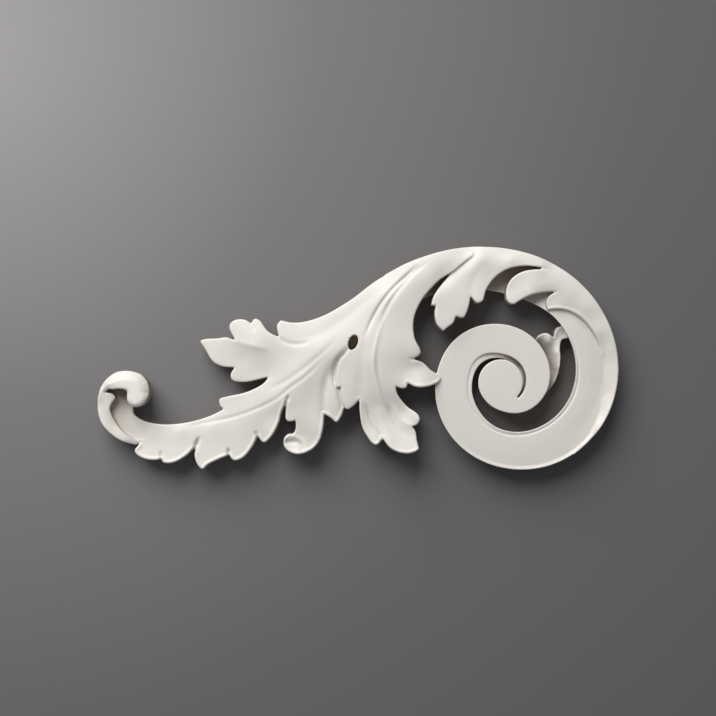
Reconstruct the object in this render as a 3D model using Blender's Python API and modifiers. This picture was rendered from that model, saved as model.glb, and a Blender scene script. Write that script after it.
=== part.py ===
# Decorative onlay: a white cast scroll of acanthus leaves ending in a volute, fixed flat to a wall.
# X runs along the wall and Z up it. The carving faces -Y and its flat back lies on Y = 0.
# It is drawn on a grid whose unit is a hundredth of the length, with its zero on the mount.
# Heights are in sevenths of the relief.
import bmesh
import bpy
import math
import numpy as np
from mathutils import kdtree

LENGTH = 0.300          # overall length along the wall
RELIEF = 0.021          # nominal height of the carving in front of the wall
EYE_LONG = 0.0090       # blind eye bored between two leaves, its long and short axis and its depth
EYE_SHORT = 0.0048
EYE_DEPTH = 0.0140

UNIT = LENGTH / 100
RISE = RELIEF / 7
CREST = RELIEF          # the eye's depth is counted from here
GRAIN = 0.30            # spacing of the surface points, in drawing units
LAP = 0.8               # how far everything runs on behind the wall before it is cut flat
UNDERCUT = 1.6          # width of the hollow cut behind a leaf's edge
LEAST_LEAF = 0.6        # thickness that a leaf keeps at its edge
HALF_PLATE = 2.0        # half the thickness of the slab that a leaf is made from
LEAD_IN = 3             # a stroke of the tool deepens over this way from its first point
LEAD_OUT = 1            # and runs out over this way at its last
BLEND = 0.6             # one kind of edge passes into the next over this way
RIM_INSET = 0.4         # how far inside the edge a raised rim has its crest
RIM_WIDTH = 0.35
TRIANGLES = 9200        # what the finished casting keeps

EYE_CENTRE = (-6.4, -4.35)
EYE_LEAN = math.radians(19)

# A leaf's edge is drawn as runs of points. A run is one smooth line of one kind of edge, and where it ends
# the edge turns a corner. The spots are heights: along, up, and how far in front of the wall. The marks are
# strokes of the tool: depth (less than nothing for a ridge), half width, and the line they follow.
EDGE_KINDS = {          # height of the raised rim, how far the very edge drops, and how wide it is rounded
    "crisp": (0, 0.3, 0.5),
    "rimmed": (0.1, 0.3, 0.5),
    "lobe": (0.3, 0.3, 0.5),
    "soft": (0, 0.6, 0.9),
    "round": (0, 0.9, 1.2),
    "fat": (0, 1.6, 1.7),
    "flush": (0, 0, 0.3),   # a seam where two forms run into each other
}
LEAF_SPOTS = [
    (0, 8.5, 4.6), (-5, 5, 4.4), (-10, 2, 4.3), (-15, -0.1, 4.1), (-20, -0.3, 4.1),  # the long upper edge
    (0, 5, 6.2), (4, 8, 6.4), (3, 2, 6.5), (5.4, -1.5, 6.4), (7.5, 4.4, 6.5), (0, -3, 6.5),  # body
    (-3, 0, 6.2), (-7, 0.5, 5.6), (-12, -1.5, 5.4), (-17, -2, 5), (-6, -4, 6.2), (-3, -8, 6.6),
    (6.3, -6.9, 6), (-9.3, -9, 5.9), (-8.7, -12.5, 5.9), (-7.3, -16.3, 5.8), (-5, -12, 6.1),
    (-4.7, -16, 5.7), (-3.8, -19.5, 5.4), (-1.7, -23, 5.6), (-1, -14, 6), (1, -18, 5.4),  # short leaf
    (2.5, -20.5, 5.2), (2, -22.5, 5.5), (3.5, -25, 6.1), (6, -24.2, 5.9), (5.5, -21.8, 5.3),
    (6.3, -18.8, 5.8), (4, -17.3, 5.3), (2.5, -12.7, 6.2), (7, -8.3, 4.8), (7, -10.5, 5.4),
    (7, -12.6, 6.4), (4.5, -9.5, 5.6), (9.3, -10, 5), (10.5, -11.5, 5.8),
    (-25, 0, 4), (-29.3, -1, 3.9), (-25, -4.7, 4.9), (-35, -4, 3.4), (-33, -8, 3.9),  # upper lobes
    (-30, -6, 4.1), (-27, -6.8, 4.2), (-29, -9, 4.2), (-29, -11.2, 4.3), (-22.6, -10.5, 4.7),
    (-18, -7, 5.3), (-12, -6, 6), (-15.5, -11.3, 5.9), (-20.4, -15.4, 5.4), (-25, -17.7, 5),  # stem
    (-33, -20.2, 4.4), (-39, -21, 4), (-44, -21.2, 3.5), (-26.7, -13.6, 4.4), (-31, -15.2, 4),
    (-34, -18.3, 3.8), (-40, -19.7, 3.5), (-50.5, -15, 2), (-49.5, -17.5, 2.2), (-48.5, -20, 2.5),
    (-46.5, -21.7, 2.9), (-48.2, -17.2, 2.9), (-46, -19.4, 3.2),  # the channel of the rolled end
    (-22.5, -19, 4.8), (-27.5, -21.5, 4.4), (-33, -23, 4), (-39, -23.3, 3.6), (-44.5, -23.6, 3.1),
    (-21.3, -21.5, 5.1), (-23, -22.9, 4.9), (-28.3, -26.2, 4.9), (-35, -28, 4.7), (-41, -27, 4.3),
    (-46.8, -26, 3.9),  # lower lobes
    (-13.5, -12, 5.5), (-15, -16, 5.2), (-15, -20, 5.1), (-17.8, -18.5, 5), (-12.3, -20.5, 5.3),
    (-14, -24.3, 5.1), (-17.3, -23.8, 4.8), (-17, -25.4, 5.4), (-18.9, -22.6, 4.9), (-10.5, -13, 5.4),
    (-9.4, -18.8, 5.3), (-19.4, -18, 5),
    (16, 13.8, 4.7), (24, 13.3, 4.7), (32, 10.6, 4.8), (38.2, 6, 5), (42, 0.5, 5.1),  # husk
    (12, 11.5, 6.1), (18, 12, 6.1), (24, 11.6, 6), (30, 10.5, 5.7), (33, 8.5, 5.7), (36, 5.5, 5.6),
    (38.5, 2.5, 5.5), (41, -2, 5.2), (13, 6, 6.3), (11.5, 2, 6.4), (11.2, -1.6, 6.5), (14.7, 1, 6.4),
    (18, 3.8, 6.4), (17, 8, 6.1), (20, 9, 5.9), (26, 10.2, 5.6), (27, 7.8, 6.2), (30, 8, 6), (24, 6, 6),
    (24.2, 3.4, 6.1), (28, 5.2, 6.1), (31, 5.6, 6), (31.3, 4.3, 5.6), (33, 3, 5.9), (35.5, 1.8, 6),
    (38.5, -0.4, 5.8), (40.6, -3.8, 5.1),
    (44.5, -6, 5), (44.8, -9.5, 5), (44.2, -13.5, 4.95), (42.9, -17.5, 4.9), (41, -20.6, 4.8),  # its tail
    (37.5, -24.6, 4.7), (43, -6, 4.6), (43.1, -10, 4.4), (42.6, -14, 4.35), (41.7, -17.5, 4.4),
    (41.4, -6, 4.5), (41.8, -9, 4.2), (41.75, -12, 4.15), (41.5, -15, 4.15), (40.8, -18.5, 4.2),
    (39.4, -21.6, 4.3),
]

LEAF_MARKS = [  # depth, width and line of each stroke
    (0.20, 0.9, [(3.5, 9.2), (-0.3, 6.2), (-4.7, 2.8), (-9, -0.6), (-14, -3.2), (-20.3, -3.4)]),
    (0.42, 0.35, [(7.2, 11.1), (6.3, 10.5), (3.9, 8.2), (1.2, 5.6), (-0.8, 3), (-2.4, 0.2), (-3.6, -2.5),
                  (-4.3, -4)]),
    (0.26, 0.4, [(8.6, 11), (6.8, 10.1), (4.2, 7.6), (1.8, 4.6), (0.2, 1.9), (-0.8, -0.5)]),
    (-0.18, 0.35, [(0.9, 2.2), (-0.6, -0.8), (-1.7, -4.5), (-2.2, -8), (-1.9, -10.5), (-1.3, -13),
                   (-0.4, -15.8), (0.6, -18.3), (2.2, -20.8), (4.4, -22.6)]),
    (0.10, 0.5, [(-1.3, -5), (-1.2, -10.5), (-0.6, -13), (0.4, -16), (1.2, -18.5)]),
    (0.20, 1.0, [(-4, -2), (-4.5, -10), (-5, -15.3), (-5.1, -19)]),
    (0.35, 0.4, [(-3.8, -16), (-2.4, -20), (-1, -22.4), (-0.6, -24)]),
    (-0.20, 0.8, [(-1.6, -16), (0, -20.5), (2, -24)]),
    (0.25, 0.5, [(0.2, -15.5), (2.2, -20), (4.6, -22.6)]),
    (-0.20, 0.5, [(1.3, -15.5), (3.3, -19.2), (5.6, -20.5)]),
    (0.15, 0.35, [(3, -7), (5.4, -7.5), (6.6, -7.7)]),
    (0.12, 0.5, [(-8.6, -3), (-12, -6.3), (-16, -9.6), (-20, -12.2), (-24, -13.8)]),
    (0.25, 0.35, [(-9.5, -5.2), (-12, -7.7), (-15.3, -10.9), (-18.1, -12.9), (-20.7, -15), (-24.2, -16.8),
                  (-28.9, -18.5), (-33.6, -19.5), (-38.2, -20.3), (-42, -20.6)]),
    (-0.15, 0.45, [(-11.5, -8.1), (-15, -11.6), (-20.3, -15.9), (-24, -17.6), (-28.7, -19.3), (-33.5, -20.3),
                   (-38, -21)]),
    (-0.26, 0.75, [(-20, -5.5), (-23.5, -5.3), (-26.5, -4.6), (-29.5, -3.5)]),
    (0.20, 0.4, [(-14, -4), (-16.5, -4.6), (-18.8, -4.3), (-20.5, -3.3)]),
    (0.12, 0.4, [(-24.8, -2.4), (-25.7, -0.8), (-26.2, 0.5)]),
    (0.70, 0.3, [(-35.2, -22.3), (-36.4, -24.5), (-37, -25.8)]),
    (0.40, 0.25, [(-43.1, -24.4), (-42.9, -26.6), (-42.8, -28)]),
    (0.60, 0.3, [(-30, -23.4), (-29.9, -25.9), (-29.8, -27.2)]),
    (0.60, 0.3, [(-25, -20.1), (-24.4, -22.4), (-23.8, -23.8)]),
    (0.60, 0.3, [(-18.2, -14), (-18.9, -16), (-19.4, -18)]),
    (0.25, 0.8, [(-9.5, -7), (-11.5, -13), (-11.7, -18), (-11.8, -20)]),
    (-0.22, 0.4, [(-14.9, -26.2), (-15.3, -24), (-15.9, -23), (-17.2, -22.4), (-18.8, -22.6)]),  # curled tip
    (0.32, 0.4, [(-15.5, -26.2), (-16.1, -24.3), (-16.8, -23.4), (-18, -23.3), (-19.3, -23.5)]),
    (0.22, 0.8, [(21, 11.4), (18.4, 9.9), (16.8, 7.6), (16.3, 4.5), (16.1, 3)]),
    (0.90, 0.5, [(17.8, 12.7), (16.2, 11.9), (14.4, 10.7), (12.3, 9), (10.9, 7.8), (10, 6.9)]),
]

LONG_LEAF = {  # the stem with its lobes, from the top of the arch to the rolled end
    "edge": [
        ("crisp", [(12, 13.5), (4.8, 11.1), (-1.5, 7.8), (-6.6, 4), (-11.7, 1), (-15.5, -0.2), (-18, -0.4),
                   (-20, 0)]),
        ("crisp", [(-20.7, -1), (-20.3, -3.1)]),
        ("crisp", [(-22.5, -1.9), (-24.1, 0), (-25, 0.3), (-25.7, -0.6)]),
        ("crisp", [(-26.9, 0.1), (-28.9, 0), (-29.9, -1.1), (-28.9, -3.8)]),
        ("crisp", [(-30.4, -3.3), (-32.2, -3.5), (-34.4, -3.6), (-35.5, -4), (-34.6, -5.5), (-33, -8),
                   (-31.2, -8.9), (-28.8, -9.1)]),
        ("crisp", [(-29.6, -10.4), (-29.3, -11.5), (-27, -11.9), (-22.6, -11)]),
        ("crisp", [(-23.6, -12.2), (-26.7, -13.7), (-30, -14.5), (-31.8, -15.2), (-31.6, -16.5),
                   (-30.9, -17.1)]),
        ("crisp", [(-34, -18.4), (-38, -19.5), (-42, -19.9), (-45, -19.6), (-46.9, -19), (-48.2, -18),
                   (-48.5, -16.6), (-48.8, -14), (-50.5, -12)]),
        ("crisp", [(-53, -11.8), (-54.8, -15.5), (-54.8, -18), (-51.9, -22), (-47.6, -23.8), (-46.8, -23.4)]),
        ("lobe", [(-48.1, -25), (-47.8, -25.7), (-46.3, -26.6), (-44.3, -26.9), (-42.9, -26.7)]),
        ("lobe", [(-42.7, -27.2), (-41.7, -27.5), (-40.1, -27.2), (-38.2, -26.1), (-36.5, -24.5)]),
        ("lobe", [(-36.5, -26), (-35.9, -27.7), (-34.9, -28.6), (-34, -27.8), (-32.3, -26.9), (-29.9, -25.9)]),
        ("lobe", [(-28.9, -26.9), (-27.2, -26.4), (-25.4, -24.3), (-24.4, -22.3)]),
        ("lobe", [(-23.2, -23.5), (-21.7, -22.3), (-20.3, -19.6), (-19.8, -17.7), (-18.9, -15.7)]),
        ("crisp", [(-19.1, -17.8), (-18.95, -19), (-18.6, -19.4), (-17.4, -19.3), (-17.1, -19.1)]),
        ("crisp", [(-17.05, -20.3), (-17.25, -21.3), (-17.7, -21.8)]),
        ("lobe", [(-18.5, -21.8), (-19.3, -22.6), (-19.35, -24), (-18.5, -25.1), (-16.6, -25.7),
                  (-15.2, -25.4), (-13.7, -24.6), (-12.5, -23.1), (-11.8, -20.6), (-11.6, -18)]),
        ("lobe", [(-10.3, -18.8), (-9.3, -19.6), (-8.3, -18.4), (-7.8, -17)]),
        ("crisp", [(-5, -12), (-3, -6), (4, 6), (9, 10), (12, 13.5)]),
    ],
    "spots": LEAF_SPOTS,
    "marks": LEAF_MARKS + [
        (1.2, 0.9, [(-7.2, -19), (-7.8, -17), (-8.6, -13.5), (-9.5, -10.8), (-8.9, -8.1), (-7.1, -5.9),
                    (-5.5, -4)]),  # under the short leaf
    ],
    "back_cut": 2.0,
}

SHORT_LEAF = {  # the leaf that lies over the long one and falls to the volute
    "edge": [
        ("crisp", [(0, 8.8), (4, 10.9), (8, 12.4), (12, 13.5), (16, 14.1)]),
        ("crisp", [(17, 12.6), (15.4, 11.2), (13, 9.2)]),
        ("crisp", [(11.6, 8.4), (10.4, 7.6), (8.7, 5.9), (6.9, 3.6), (5.5, 0.2), (5.6, -3.3), (6.8, -6.3),
                   (5.4, -7.5)]),
        ("crisp", [(7.2, -8.1), (8.8, -9.6), (10.4, -10.6), (10.8, -11.2), (10.4, -11.8), (9, -12.5),
                   (7, -12.9), (5.5, -12.7), (4.3, -12)]),
        ("crisp", [(4.1, -12.9), (3.2, -13.1), (2, -12.6)]),
        ("crisp", [(2.5, -14), (4.5, -16.4), (6.4, -17.8), (6.8, -18.9), (6.1, -20), (5.1, -20.3)]),
        ("crisp", [(5.8, -21.2), (6.1, -23), (6.5, -24.6)]),
        ("lobe", [(5.9, -25.1), (4.3, -25.5), (2.4, -25.2), (0.8, -24.3), (-0.5, -22.6)]),
        ("lobe", [(-1, -23.5), (-1.7, -23.9), (-2.4, -23.6), (-3.6, -22.3), (-4.5, -20.6), (-5, -17.6),
                  (-4.9, -15.2)]),
        ("rimmed", [(-6.1, -16.5), (-7.3, -17.1), (-8.1, -15.8), (-8.5, -13.5), (-8.3, -12.7)]),
        ("rimmed", [(-9.2, -12.9), (-9.4, -10.8), (-8.8, -8.1), (-7, -5.9)]),
        ("crisp", [(-5.6, -3.5), (-4, 0), (0, 8.8)]),
    ],
    "spots": LEAF_SPOTS,
    "marks": LEAF_MARKS,
    "back_cut": 2.0,
}

# The sheath starts with the top of the arch and then follows the volute's outer edge to its tail.
SHEATH_TOP = [(4, 10.9), (8, 12.4), (12, 13.5), (16, 14.1), (20, 14.1)]
SHEATH_TAIL_ANGLE = -47
SHEATH = {  # the husk that wraps the arch and runs out along the volute's outer edge
    "edge": [
        ("flush", [(37.5, -24.2), (39.4, -21.8), (40.8, -19), (41.4, -16), (41.75, -12), (41.8, -9), (41.4, -6)]),
        ("lobe", [(40.3, -3), (38.3, -0.4), (36, 1.3), (33.6, 2), (31.1, 1.9)]),
        ("crisp", [(30.8, 3.2), (31.4, 4.6), (33.2, 5.4)]),
        ("crisp", [(30.5, 5.5), (27.5, 5), (25.7, 3.9), (24.3, 2.9), (23, 3.6), (22.8, 5.6), (23.9, 7.9),
                   (26.4, 9.4), (31.2, 9.9)]),
        ("crisp", [(27.3, 10.5), (23.5, 9.9), (20.7, 8.3), (19.2, 5.8), (18.6, 3.5), (17.5, 3.2), (16.3, 4.5)]),
        ("crisp", [(15.9, 2.4), (14.9, 0.4), (13.5, 0.7)]),
        ("crisp", [(13, -0.6), (11.7, -1.6), (11.1, -2.2)]),
        ("crisp", [(9.7, -0.8), (9.3, 1.6), (9.6, 2.7)]),
        ("crisp", [(8.6, 2.7)]),
        ("crisp", [(8.9, 4.7), (10.2, 6.6), (11.8, 8.3), (14, 10.4), (15.4, 11.4)]),
        ("crisp", [(8, 11), (4, 10.9)]),
    ],
    "spots": LEAF_SPOTS,
    "marks": LEAF_MARKS,
    "back_cut": 2.0,
}

BUD = {  # between the arch and the coil
    "edge": [
        ("crisp", [(29, -4), (29.3, -3.2), (30.2, -2.6), (31.1, -2.5), (32.5, -3.4)]),
        ("crisp", [(32.7, -2.1), (33.4, -1.3), (34.2, -1.2), (35.4, -3.4)]),
        ("crisp", [(34.1, -3.8), (33.7, -5), (33.6, -7.5), (33.2, -10.2), (32.4, -12.3), (30.4, -14.9)]),
        ("crisp", [(28.5, -14), (29.5, -10), (29, -4)]),
    ],
    "spots": [(29.2, -3.5, 3.7), (30.5, -3, 4.2), (31.8, -3.2, 4.3), (31.4, -4.3, 4.2), (32.5, -6.2, 4.2),
              (33.1, -9, 4), (32.5, -12, 3.5), (31.2, -14, 3), (29.6, -5.2, 1.9), (30.8, -7, 1.7),
              (31.6, -9.5, 1.7), (31.1, -12, 2), (33.6, -6, 3.9), (33.5, -1.8, 3.4), (34.3, -3.2, 3.1),
              (32.8, -3.6, 3.5), (29.5, -10, 1.6)],
    "marks": [],
    "back_cut": -LAP,
}

CURL_RIM = {  # outer wall of the channel at the left end
    "edge": [
        ("soft", [(-54.2, -13.2), (-54.95, -14.5), (-55.1, -16), (-55.05, -17.4), (-54.3, -19.7),
                  (-52.5, -21.8), (-50.4, -23.2), (-47.9, -24)]),
        ("crisp", [(-46.8, -23.3)]),
        ("crisp", [(-48.1, -22.8), (-50, -21.6), (-51.4, -20), (-52.3, -18.3), (-52.65, -17), (-52.3, -16),
                   (-51.9, -15.4), (-51.55, -14.9)]),
        ("crisp", [(-51.8, -14.4), (-52.4, -14), (-53.6, -13.85)]),
        ("flush", [(-54.2, -13.2)]),
    ],
    "spots": [(-54.5, -17, 4.6), (-52.9, -17, 4.8), (-53, -20.8, 4.5), (-51.6, -20, 4.7), (-49.5, -22.7, 4.1),
              (-47.2, -23.7, 3.4), (-53.6, -14, 4.95), (-52.2, -14.5, 4.9), (-54.2, -15, 4.8),
              (-55, -16.5, 4.5)],
    "marks": [],
    "back_cut": -LAP,
}

ROLL = {  # the rolled end, a fat cap that turns over the channel
    "edge": [
        ("flush", [(-53.6, -13.85), (-54.2, -15), (-55.05, -16.8)]),
        ("soft", [(-55.1, -15.8), (-54.95, -14.3), (-54.5, -12.9)]),
        ("fat", [(-53.9, -11.9), (-52.9, -10.9), (-51.5, -10), (-49.7, -9.7), (-48, -9.9), (-46.4, -10.6),
                 (-45.4, -11.8)]),
        ("round", [(-45, -13.3), (-45.1, -14.5), (-45.6, -15.6), (-46.3, -16.3), (-47.3, -16.65),
                   (-48.3, -16.4)]),
        ("crisp", [(-49, -15.7), (-49.2, -14.9), (-49.15, -14), (-49.2, -13.4)]),
        ("crisp", [(-49.7, -13.1), (-51, -13), (-52, -13.2)]),
        ("crisp", [(-52.6, -12.95), (-53.6, -13.85)]),
    ],
    "spots": [(-54.2, -15, 4.8), (-55, -16.5, 4.5), (-53.6, -14, 4.95), (-53.8, -12.5, 5.6), (-52, -11.3, 6.1),
              (-49.5, -10.6, 6.4), (-51, -12.7, 6.2), (-47.6, -13.8, 6.5), (-46.8, -12, 6.7), (-45.9, -14, 6.9),
              (-48.6, -15.4, 6.6), (-47.5, -16, 7), (-46.4, -15.6, 7)],
    "marks": [],
    "back_cut": 2.0,
}

# Radii of the volute about its centre, every eighth of a turn clockwise from the upper left.
VOLUTE_CENTRE = (22.6, -12.2)
VOLUTE_START = 135
EIGHTH = 45
OUTER_RADII = [29, 26.1, 24.05, 21.9, 18.95, 16.3, 14.1, 13, 12.75, 11.6, 10.3, 8.75, 6.95, 5.2, 4.55, 4.7,
               4.85, 4.65, 4.15, 3.8, 3.66]
INNER_RADII = [22.5, 17.45, 15.6, 13.4, 10.85, 8.7, 6.7, 5.9, 5.65, 4.8, 4.15, 3.8, 3.66]
STEP_RADII = [23.3, 18.3, 16.2, 14.5, 11.85, 9.7, 7.75, 6.8, 6.9, 5.6, 4.9, 4.3, 3.9]
HUB_RADIUS = 0.02       # inner radius where the band closes up into the middle
HUB_STEP = 0.3
HUB_OVERRUN = 14        # degrees that the middle laps over itself
HUB_ANGLE = VOLUTE_START - EIGHTH * (len(INNER_RADII) - 1)
# By angle: height of the band, how far it is hollowed, how far its outer edge stands up, and how far its
# inner edge is stepped down.
VOLUTE_FACE = [(-405, 4.95), (-90, 4.6), (0, 4.35), (50, 3.6), (90, 2.4), (135, 2.2)]
VOLUTE_DISH = [(-180, 0), (-90, 0.15), (0, 0.55), (90, 0.4)]
VOLUTE_LIP = [(-200, 0), (-120, 0.12), (-45, 0.3)]
VOLUTE_LEDGE = [(-270, 2.4), (-215, 0.7), (-180, 0.4), (20, 0.4), (60, 0.05)]
VOLUTE_UNDERCUT = 0.6   # how far the band's back is narrower on each side
EDGE_BREAK = 0.2        # how far its corners are taken off
DISH_PLACE = 0.4        # where the hollow is deepest, as a share of the band from its outer edge
LIP_WIDTH = 0.75


def smooth_line(points, step=0.5):
    """Points along a curve that passes through all the given ones (a centripetal Catmull-Rom spline)."""
    p = np.array(points, float)
    p = np.vstack([2 * p[0] - p[1], p, 2 * p[-1] - p[-2]])
    line = []
    for a, b, c, d in zip(p, p[1:], p[2:], p[3:]):
        tb = np.linalg.norm(b - a) ** 0.5
        tc = tb + np.linalg.norm(c - b) ** 0.5
        td = tc + np.linalg.norm(d - c) ** 0.5
        count = max(1, round(np.linalg.norm(c - b) / step))
        t = np.linspace(tb, tc, count, endpoint=False)[:, None]
        ab = (tb - t) / tb * a + t / tb * b
        bc = (tc - t) / (tc - tb) * b + (t - tb) / (tc - tb) * c
        cd = (td - t) / (td - tc) * c + (t - tc) / (td - tc) * d
        abc = (tc - t) / tc * ab + t / tc * bc
        bcd = (td - t) / (td - tb) * bc + (t - tb) / (td - tb) * cd
        line.append((tc - t) / (tc - tb) * abc + (t - tb) / (tc - tb) * bcd)
    line.append(p[-2:-1])
    return np.vstack(line)


def outline_of(runs, step=0.5):
    """The closed edge that the runs draw, with the kind of edge at each point.

    Each run starts where the one before it ended.
    """
    edge, kinds, start = [], [], []
    for kind, points in runs:
        line = smooth_line(start + points, step)[len(start):]
        start = [tuple(line[-1])]
        edge.append(line)
        kinds += [EDGE_KINDS[kind]] * len(line)
    edge, kinds = np.vstack(edge), np.array(kinds)
    if np.linalg.norm(edge[0] - edge[-1]) < step / 10:
        edge, kinds = edge[:-1], kinds[:-1]
    reach = max(1, round(BLEND / step))
    shifts = range(-reach, reach + 1)
    kinds = sum(np.roll(kinds, shift, axis=0) for shift in shifts) / len(shifts)
    return edge, kinds


def radius_at(radii, angle):
    """A radius of the volute at any angle, read smoothly between the eighths of a turn."""
    stations = smooth_line([(VOLUTE_START - EIGHTH * k, r) for k, r in enumerate(radii)], 3)
    return np.interp(-angle, -stations[:, 0], stations[:, 1])


def volute_point(radius, angle):
    turn = math.radians(angle)
    return (VOLUTE_CENTRE[0] + radius * math.cos(turn), VOLUTE_CENTRE[1] + radius * math.sin(turn))


def surface_through(spots):
    """A height for any place, from a thin plate bent through the spot heights."""
    spots = np.array(spots, float)

    def bend(places):
        gap = ((places[:, None] - spots[None, :, :2]) ** 2).sum(2)
        return gap * np.log(gap + 1e-9)

    def tilt(places):
        return np.column_stack([np.ones(len(places)), places])

    known = tilt(spots[:, :2])
    system = np.block([[bend(spots[:, :2]), known], [known.T, np.zeros((3, 3))]])
    weights = np.linalg.solve(system, np.append(spots[:, 2], [0, 0, 0]))
    return lambda places: bend(places) @ weights[:-3] + tilt(places) @ weights[-3:]


def stroke_depth(places, stroke):
    """How deep one stroke of the tool goes at each place."""
    depth, width, points = stroke
    step = 0.3
    line = smooth_line(points, step)
    gaps = ((places[:, None] - line[None]) ** 2).sum(2)
    along = gaps.argmin(1) * step
    left = (len(line) - 1) * step - along
    fade = np.clip(np.minimum(along / LEAD_IN, left / LEAD_OUT), 0, 1)
    return depth * fade * fade * (3 - 2 * fade) * np.exp(-gaps.min(1) / width ** 2)


def evaluated_mesh(obj):
    depsgraph = bpy.context.evaluated_depsgraph_get()
    return bpy.data.meshes.new_from_object(obj.evaluated_get(depsgraph))


def with_modifier(mesh, kind, **settings):
    """The mesh as one modifier leaves it."""
    obj = bpy.data.objects.new("work", mesh)
    bpy.context.scene.collection.objects.link(obj)
    modifier = obj.modifiers.new(kind.title(), kind)
    for name, value in settings.items():
        setattr(modifier, name, value)
    result = evaluated_mesh(obj)
    bpy.data.objects.remove(obj)
    return result


def flat_plate(edge):
    """A slab with the given outline, covered evenly with points."""
    curve = bpy.data.curves.new("edge", "CURVE")
    curve.dimensions = "2D"
    curve.fill_mode = "BOTH"
    curve.extrude = HALF_PLATE
    spline = curve.splines.new("POLY")
    spline.points.add(len(edge) - 1)
    for point, (u, w) in zip(spline.points, edge):
        point.co = (u, w, 0, 1)
    spline.use_cyclic_u = True
    obj = bpy.data.objects.new("edge", curve)
    bpy.context.scene.collection.objects.link(obj)
    mesh = evaluated_mesh(obj)
    bpy.data.objects.remove(obj)
    bm = bmesh.new()
    bm.from_mesh(mesh)
    bmesh.ops.remove_doubles(bm, verts=bm.verts, dist=0.001)
    bm.to_mesh(mesh)
    bm.free()
    return with_modifier(mesh, "REMESH", mode="VOXEL", voxel_size=GRAIN)


def carved_plate(leaf):
    """A leaf: its outline raised to its heights, tooled, rounded at the edge and thinned behind it."""
    mesh = flat_plate(outline_of(leaf["edge"])[0])
    points = np.empty(len(mesh.vertices) * 3, np.float32)
    mesh.vertices.foreach_get("co", points)
    points = points.reshape(-1, 3).astype(float)
    places = points[:, :2]
    share = np.clip((points[:, 2] + HALF_PLATE) / (2 * HALF_PLATE), 0, 1)

    border, kinds = outline_of(leaf["edge"], 0.15)
    tree = kdtree.KDTree(len(border))
    for index, (u, w) in enumerate(border):
        tree.insert((u, w, 0), index)
    tree.balance()
    found = [tree.find((u, w, 0)) for u, w in places]
    inward = np.array([distance for _, _, distance in found])
    rim, drop, bevel = kinds[[index for _, index, _ in found]].T

    height = surface_through(leaf["spots"])(places)
    for stroke in leaf["marks"]:
        height -= stroke_depth(places, stroke)
    height += rim * np.exp(-((inward - RIM_INSET) / RIM_WIDTH) ** 2)
    height -= drop * (1 - np.minimum(inward / bevel, 1)) ** 2
    back = -LAP + (leaf["back_cut"] + LAP) * (1 - np.minimum(inward / UNDERCUT, 1))
    top = np.maximum(height, back + LEAST_LEAF)
    depth = back + (top - back) * share
    placed = np.column_stack([places[:, 0] * UNIT, -depth * RISE, places[:, 1] * UNIT])
    mesh.vertices.foreach_set("co", placed.astype(np.float32).ravel())
    return mesh


def by_angle(stations, angle):
    return np.interp(angle, *zip(*stations))


def band_profile(angle):
    """Radius and height across the volute's band, from its outer edge to its inner one."""
    outer = radius_at(OUTER_RADII, angle)
    face = by_angle(VOLUTE_FACE, angle)
    inner, step, ledge = HUB_RADIUS, HUB_STEP, face
    if angle >= HUB_ANGLE:
        inner, step = radius_at(INNER_RADII, angle), radius_at(STEP_RADII, angle)
        ledge = face - by_angle(VOLUTE_LEDGE, angle)
    middle = outer - (outer - step) * DISH_PLACE
    return np.array([
        (outer, face - EDGE_BREAK), (outer - EDGE_BREAK, face), (outer - LIP_WIDTH, face - by_angle(VOLUTE_LIP, angle)),
        (middle, face - by_angle(VOLUTE_DISH, angle)), (step + EDGE_BREAK, face), (step, ledge),
        (inner + EDGE_BREAK / 2, ledge), (inner, ledge - EDGE_BREAK)])


def volute():
    """The band wound up into its hub, as a strip that is pushed through to the wall and narrows behind."""
    last_angle = VOLUTE_START - EIGHTH * (len(OUTER_RADII) - 1) - HUB_OVERRUN
    stations = len(band_profile(0)) - 1
    bm = bmesh.new()
    bmesh.ops.create_grid(bm, x_segments=300, y_segments=stations * 3, size=0.5)
    back_place = bm.verts.layers.float_vector.new("back_place")
    for vert in bm.verts:
        angle = VOLUTE_START + (last_angle - VOLUTE_START) * (vert.co.x + 0.5)
        profile = band_profile(angle)
        across = (vert.co.y + 0.5) * stations
        radius = np.interp(across, range(stations + 1), profile[:, 0])
        height = np.interp(across, range(stations + 1), profile[:, 1])
        side = 1 - 2 * across / stations  # 1 at the outer edge, -1 at the inner one
        if angle < HUB_ANGLE:
            side = max(side, 0)
        back_u, back_w = volute_point(radius - VOLUTE_UNDERCUT * side, angle)
        vert[back_place] = (back_u * UNIT, LAP * RISE, back_w * UNIT)
        u, w = volute_point(radius, angle)
        vert.co = (u * UNIT, -height * RISE, w * UNIT)
    pushed = bmesh.ops.extrude_face_region(bm, geom=bm.faces[:])
    for vert in pushed["geom"]:
        if isinstance(vert, bmesh.types.BMVert):
            vert.co = vert[back_place]
    bmesh.ops.recalc_face_normals(bm, faces=bm.faces)
    mesh = bpy.data.meshes.new("volute")
    bm.to_mesh(mesh)
    bm.free()
    return mesh


def sheath():
    """The sheath with the volute's outer edge as its own."""
    angles = range(90, SHEATH_TAIL_ANGLE, -6)
    rim = [volute_point(radius_at(OUTER_RADII, a), a) for a in angles]
    tail = volute_point(radius_at(OUTER_RADII, SHEATH_TAIL_ANGLE), SHEATH_TAIL_ANGLE)
    return {**SHEATH, "edge": [("crisp", SHEATH_TOP + rim + [tail])] + SHEATH["edge"]}


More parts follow.
